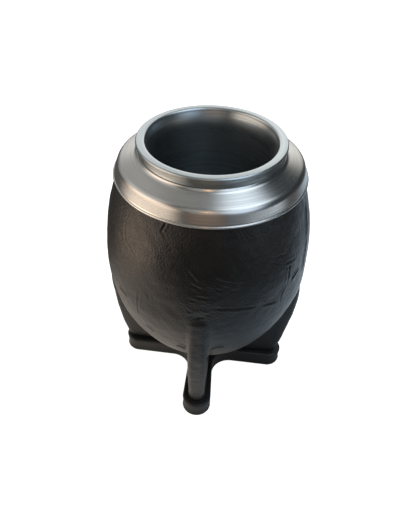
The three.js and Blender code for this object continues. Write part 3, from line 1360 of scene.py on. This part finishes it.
    def hidden_rows(self, turns: np.ndarray) -> np.ndarray:
        """The cover's turned-in edge under the ferrule and collar, and the hollow for the cup.

        Args:
            turns: directions of the columns.

        Returns:
            (rows, columns, 3) points, on from the ferrule's rim down to the hollow's floor.
        """
        cup, cover = self.cup, self.cover
        tucked = cover.wall + SEAM
        outside = cup.bore_radius + cup.wall + SEAM
        corner = cup.corner + cup.wall + SEAM
        path = np.vstack(
            [
                [(cover.skirt_radius - tucked, self.top + 0.6)],
                cover.shoulder_line(tucked)[:0:-3],
                [(cup.neck_radius, cup.top - cup.collar_length - SEAM)],
                [(outside, cup.top - cup.collar_length - SEAM)],
                [(outside, cup.floor + 2.0 * corner)],
                arc((outside - corner, cup.floor - SEAM + corner), corner, 0.0, -90.0, 6),
            ]
        )
        return swept(path, turns)

    def build(self) -> None:
        """Works out the cover with its relief, closes it with its hollow and dresses it."""
        turns = self.turns()
        rows = self.cover_rows(turns)
        rows = rows + surface_normals(rows) * self.relief(rows, turns)[..., None]
        grid = np.concatenate([rows, self.hidden_rows(turns)])
        first = (0.0, 0.0, float(rows[0, 0, 2]))
        last = (0.0, 0.0, self.cup.floor - SEAM)
        thing = closed_surface("leather_cover", grid, first, last)
        dressed(thing, GrainLeather().material(), "leather_body")


@dataclass
class Sole:
    """The thick cross-shaped sole: four round-ended arms, with hollow fillets between them."""

    top: float
    reach: float
    end_radius: float = 6.6
    neck_half: float = 5.95
    fillet: float = 9.2
    edge: float = 0.9
    waist: float = 0.35
    waist_line: tuple[tuple[float, float], ...] = ((0.7, 0.2), (1.0, 0.4), (0.6, 0.65))
    face_inset: float = 0.6
    edge_steps: int = 5
    end_sweep: float = 86.0
    end_steps: int = 30
    fillet_steps: int = 26

    def outline(self, inset: float) -> np.ndarray:
        """The cross seen from above, moved inwards by an inset.

        Each arm ends in an arc. The fillet between two arms is an arc whose centre lies midway between
        them, as far out as makes it touch both arms' sides.

        Args:
            inset: distance inwards in millimetres.

        Returns:
            (n, 2) points, anticlockwise.
        """
        pieces = []
        for i, leg in enumerate(LEGS):
            span = (LEGS[(i + 1) % len(LEGS)].turn - leg.turn) % 360.0
            tip = (self.reach - self.end_radius, 0.0)
            end = arc(tip, self.end_radius - inset, -self.end_sweep, self.end_sweep, self.end_steps)
            angle = math.radians(leg.turn)
            turned = np.array([[math.cos(angle), math.sin(angle)], [-math.sin(angle), math.cos(angle)]])
            pieces.append(end @ turned)
            middle = leg.turn + span / 2.0
            hollow = self.fillet + inset
            distance = (self.neck_half + self.fillet) / math.sin(math.radians(span / 2.0))
            centre = (distance * math.cos(math.radians(middle)), distance * math.sin(math.radians(middle)))
            sweep = 90.0 - span / 2.0
            inwards = middle + 180.0
            pieces.append(arc(centre, hollow, inwards + sweep, inwards - sweep, self.fillet_steps))
        return np.vstack(pieces)

    def build(self) -> None:
        """Carries the outline up the slightly waisted side, closes both faces and dresses it."""
        quarter = np.linspace(0.0, 90.0, self.edge_steps + 1)
        inset = self.edge * (1.0 - np.sin(np.radians(quarter)))
        drop = self.edge * (1.0 - np.cos(np.radians(quarter)))
        face = self.edge + self.face_inset
        steps = [(face, 0.0)]
        steps += list(zip(inset, drop))
        steps += [(self.waist * share, self.top * at) for share, at in self.waist_line]
        steps += [(i, self.top - d) for i, d in zip(inset[::-1], drop[::-1])]
        steps += [(face, self.top)]
        rows = []
        for inward, height in steps:
            outline = self.outline(float(inward))
            rows.append(np.column_stack([outline, np.full(len(outline), float(height))]))
        thing = closed_surface("sole_cross", np.stack(rows), (0.0, 0.0, 0.0), (0.0, 0.0, self.top))
        dressed(thing, MouldedRubber().material(), "sole")


@dataclass(frozen=True)
class SoftPanel:
    """A soft light panel far away: a cone of directions with a bright middle and a soft edge.

    The two angles in degrees are those at which it is still full and already faded out.
    """

    towards: tuple[float, float, float]
    full: float
    faded: float
    colour: str
    strength: float


@dataclass(frozen=True)
class FloorGlow:
    """A lit patch of the floor as reflections see it, full and faded out at two radii in millimetres."""

    centre: tuple[float, float, float]
    full: float
    faded: float
    colour: str
    strength: float


@dataclass
class Studio:
    """Pale floor, soft panels all round and the camera."""

    view: PhotoView = PhotoView()
    sensor: float = 36.0
    clip_start: float = 0.01
    surround: str = "#343a3e"
    floor_reach: float = 3000.0
    floor_gap: float = 0.1
    floor_white: float = 0.88
    floor_colour: str = "#e6e6e6"
    panels: tuple[SoftPanel, ...] = (
        SoftPanel((-0.87, -0.35, 0.15), 18.0, 44.0, "#ffe8d2", 1.6),
        SoftPanel((-0.75, 0.0, 0.66), 8.0, 30.0, "#f8f4ee", 0.6),
        SoftPanel((0.0, -1.0, 0.14), 8.0, 28.0, "#ffd4b0", 0.26),
        SoftPanel((0.7, -0.7, 0.14), 8.0, 28.0, "#e6f2ff", 0.25),
        SoftPanel((0.58, -0.54, 0.6), 8.0, 28.0, "#d8eaff", 1.5),
        SoftPanel((0.41, 0.0, 0.91), 8.0, 25.0, "#e4f2ff", 2.3),
        SoftPanel((-0.02, 0.95, 0.26), 14.0, 38.0, "#faf8f4", 1.5),
        SoftPanel((-0.66, 0.6, 0.45), 10.0, 32.0, "#f4f3f0", 0.45),
        SoftPanel((-0.25, 0.2, 0.95), 8.0, 28.0, "#f8f6f2", 0.3),
        SoftPanel((0.0, -0.66, 0.74), 14.0, 34.0, "#f4f4f2", 0.4),
        SoftPanel((0.02, -0.68, 0.72), 2.0, 6.0, "#ffc070", 3.6),
    )
    floor_surround: str = "#5a5856"
    glows: tuple[FloorGlow, ...] = (
        FloorGlow((-85.0, -55.0, 0.0), 50.0, 125.0, "#fff2e4", 0.75),
        FloorGlow((-310.0, -105.0, 0.0), 60.0, 170.0, "#ffdfc0", 3.4),
        FloorGlow((-750.0, -330.0, 0.0), 330.0, 640.0, "#fff0e2", 1.3),
        FloorGlow((110.0, 10.0, 0.0), 30.0, 90.0, "#c4dcee", 0.75),
        FloorGlow((50.0, 87.0, 0.0), 30.0, 90.0, "#f0f0ee", 0.8),
        FloorGlow((190.0, 170.0, 0.0), 80.0, 200.0, "#c8e0f4", 0.75),
        FloorGlow((50.0, -87.0, 0.0), 30.0, 90.0, "#c0dcf0", 0.45),
        FloorGlow((850.0, -370.0, 0.0), 230.0, 520.0, "#e2f2ff", 1.7),
    )

    def place_camera(self) -> None:
        """Makes the camera at the photo's angle, its lens from the picture height in pixels."""
        data = bpy.data.cameras.new("camera")
        camera = bpy.data.objects.new("camera", data)
        bpy.context.scene.collection.objects.link(camera)
        data.sensor_width = self.sensor
        data.lens = self.view.focal / self.view.height * self.sensor
        data.shift_x = self.view.shift / self.view.height
        data.shift_y = self.view.shift / self.view.height
        data.clip_start = self.clip_start
        camera.matrix_world = Matrix.Translation(Vector(self.view.place)) @ self.view.turn()
        bpy.context.scene.camera = camera

    def light(self) -> None:
        """Sets the world: white to the camera, and to all else a dim surround with soft panels."""
        world = bpy.data.worlds.new("studio")
        bpy.context.scene.world = world
        bpy.context.scene.view_settings.view_transform = "Standard"
        world.use_nodes = True
        tree = world.node_tree
        tree.nodes.clear()
        direction = add_node(tree, "ShaderNodeTexCoord").outputs["Generated"]
        total = add_node(tree, "ShaderNodeRGB").outputs[0]
        total.default_value = linear(self.surround)
        for panel in self.panels:
            towards = Vector(panel.towards).normalized()
            closeness = add_node(
                tree, "ShaderNodeVectorMath", {0: direction, 1: towards}, operation="DOT_PRODUCT"
            ).outputs["Value"]
            edges = (math.cos(math.radians(panel.faded)), math.cos(math.radians(panel.full)))
            total = self.added_light(tree, total, closeness, edges, panel.colour, panel.strength)
        seen = add_node(tree, "ShaderNodeLightPath").outputs["Is Camera Ray"]
        shade = add_node(
            tree, "ShaderNodeMix", {0: seen, 6: total, 7: WHITE}, data_type="RGBA"
        ).outputs[2]
        background = add_node(tree, "ShaderNodeBackground", {"Color": shade})
        add_node(tree, "ShaderNodeOutputWorld", {"Surface": background.outputs[0]})

    @staticmethod
    def added_light(
        tree: bpy.types.NodeTree,
        total: bpy.types.NodeSocket,
        measure: bpy.types.NodeSocket,
        edges: tuple[float, float],
        colour: str,
        strength: float,
    ) -> bpy.types.NodeSocket:
        """Adds one soft-edged light to a sum of lights.

        Args:
            tree: the node tree.
            total: the sum so far.
            measure: what the light fades by.
            edges: the measure at which it is faded out, and at which it is full.
            colour: its colour in hex.
            strength: its brightness.

        Returns:
            The new sum.
        """
        near = add_node(
            tree,
            "ShaderNodeMapRange",
            {0: measure, 1: edges[0], 2: edges[1], 4: strength},
            interpolation_type="SMOOTHSTEP",
        ).outputs[0]
        lit = add_node(
            tree, "ShaderNodeVectorMath", {0: linear(colour)[:3], "Scale": near}, operation="SCALE"
        ).outputs[0]
        return add_node(tree, "ShaderNodeVectorMath", {0: total, 1: lit}, operation="ADD").outputs[0]

    def lay_floor(self) -> None:
        """Lays a plain pale floor: white to the camera, and lit in soft patches to reflections."""
        reach, drop = self.floor_reach, -self.floor_gap
        corners = np.array([(x * reach, y * reach, drop) for x, y in ((-1, -1), (1, -1), (1, 1), (-1, 1))])
        floor = mesh_object("floor", corners, [(0, 1, 2, 3)])
        material = bpy.data.materials.new("pale_floor")
        material.use_nodes = True
        tree = material.node_tree
        tree.nodes.clear()
        place = add_node(tree, "ShaderNodeTexCoord").outputs["Object"]
        total = add_node(tree, "ShaderNodeRGB").outputs[0]
        total.default_value = linear(self.floor_surround)
        for glow in self.glows:
            centre = Vector(glow.centre) * MM
            away = add_node(
                tree, "ShaderNodeVectorMath", {0: place, 1: centre}, operation="DISTANCE"
            ).outputs["Value"]
            edges = (glow.faded * MM, glow.full * MM)
            total = self.added_light(tree, total, away, edges, glow.colour, glow.strength)
        mirrored = add_node(tree, "ShaderNodeEmission", {"Color": total}).outputs[0]
        glow_white = add_node(tree, "ShaderNodeEmission", {"Strength": self.floor_white}).outputs[0]
        paint = add_node(tree, "ShaderNodeBsdfDiffuse", {"Color": linear(self.floor_colour)}).outputs[0]
        plain = add_node(tree, "ShaderNodeAddShader", {0: glow_white, 1: paint}).outputs[0]
        seen = add_node(tree, "ShaderNodeLightPath").outputs["Is Camera Ray"]
        shown = add_node(tree, "ShaderNodeMixShader", {0: seen, 1: mirrored, 2: plain}).outputs[0]
        add_node(tree, "ShaderNodeOutputMaterial", {"Surface": shown})
        floor.data.materials.append(material)


def millimetres(node: str) -> tuple[np.ndarray, np.ndarray]:
    """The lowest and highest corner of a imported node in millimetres."""
    low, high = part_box(node)
    return np.array(low) / MM, np.array(high) / MM


def main() -> None:
    """Loads the frame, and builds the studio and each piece."""
    logging.basicConfig(level=logging.INFO, format="%(name)s %(message)s")
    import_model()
    studio = Studio()
    studio.place_camera()
    studio.light()
    studio.lay_floor()
    cup_low, cup_high = millimetres("cup_liner")
    ring_low, ring_high = millimetres("ferrule")
    _, sole_high = millimetres("sole")
    cup = CupLiner(top=cup_high[Z], lip_radius=cup_high[Y], floor=cup_low[Z])
    cup.build()
    ferrule = Ferrule(top=cup_high[Z], foot=ring_low[Z], rim_radius=ring_high[Y])
    ferrule.build()
    LeatherBody(top=ring_low[Z], sole_top=sole_high[Z], cup=cup, cover=ferrule).build()
    Sole(top=sole_high[Z], reach=sole_high[X]).build()
    LOG.info("the visual model's box is written")


if __name__ == "__main__":
    main()
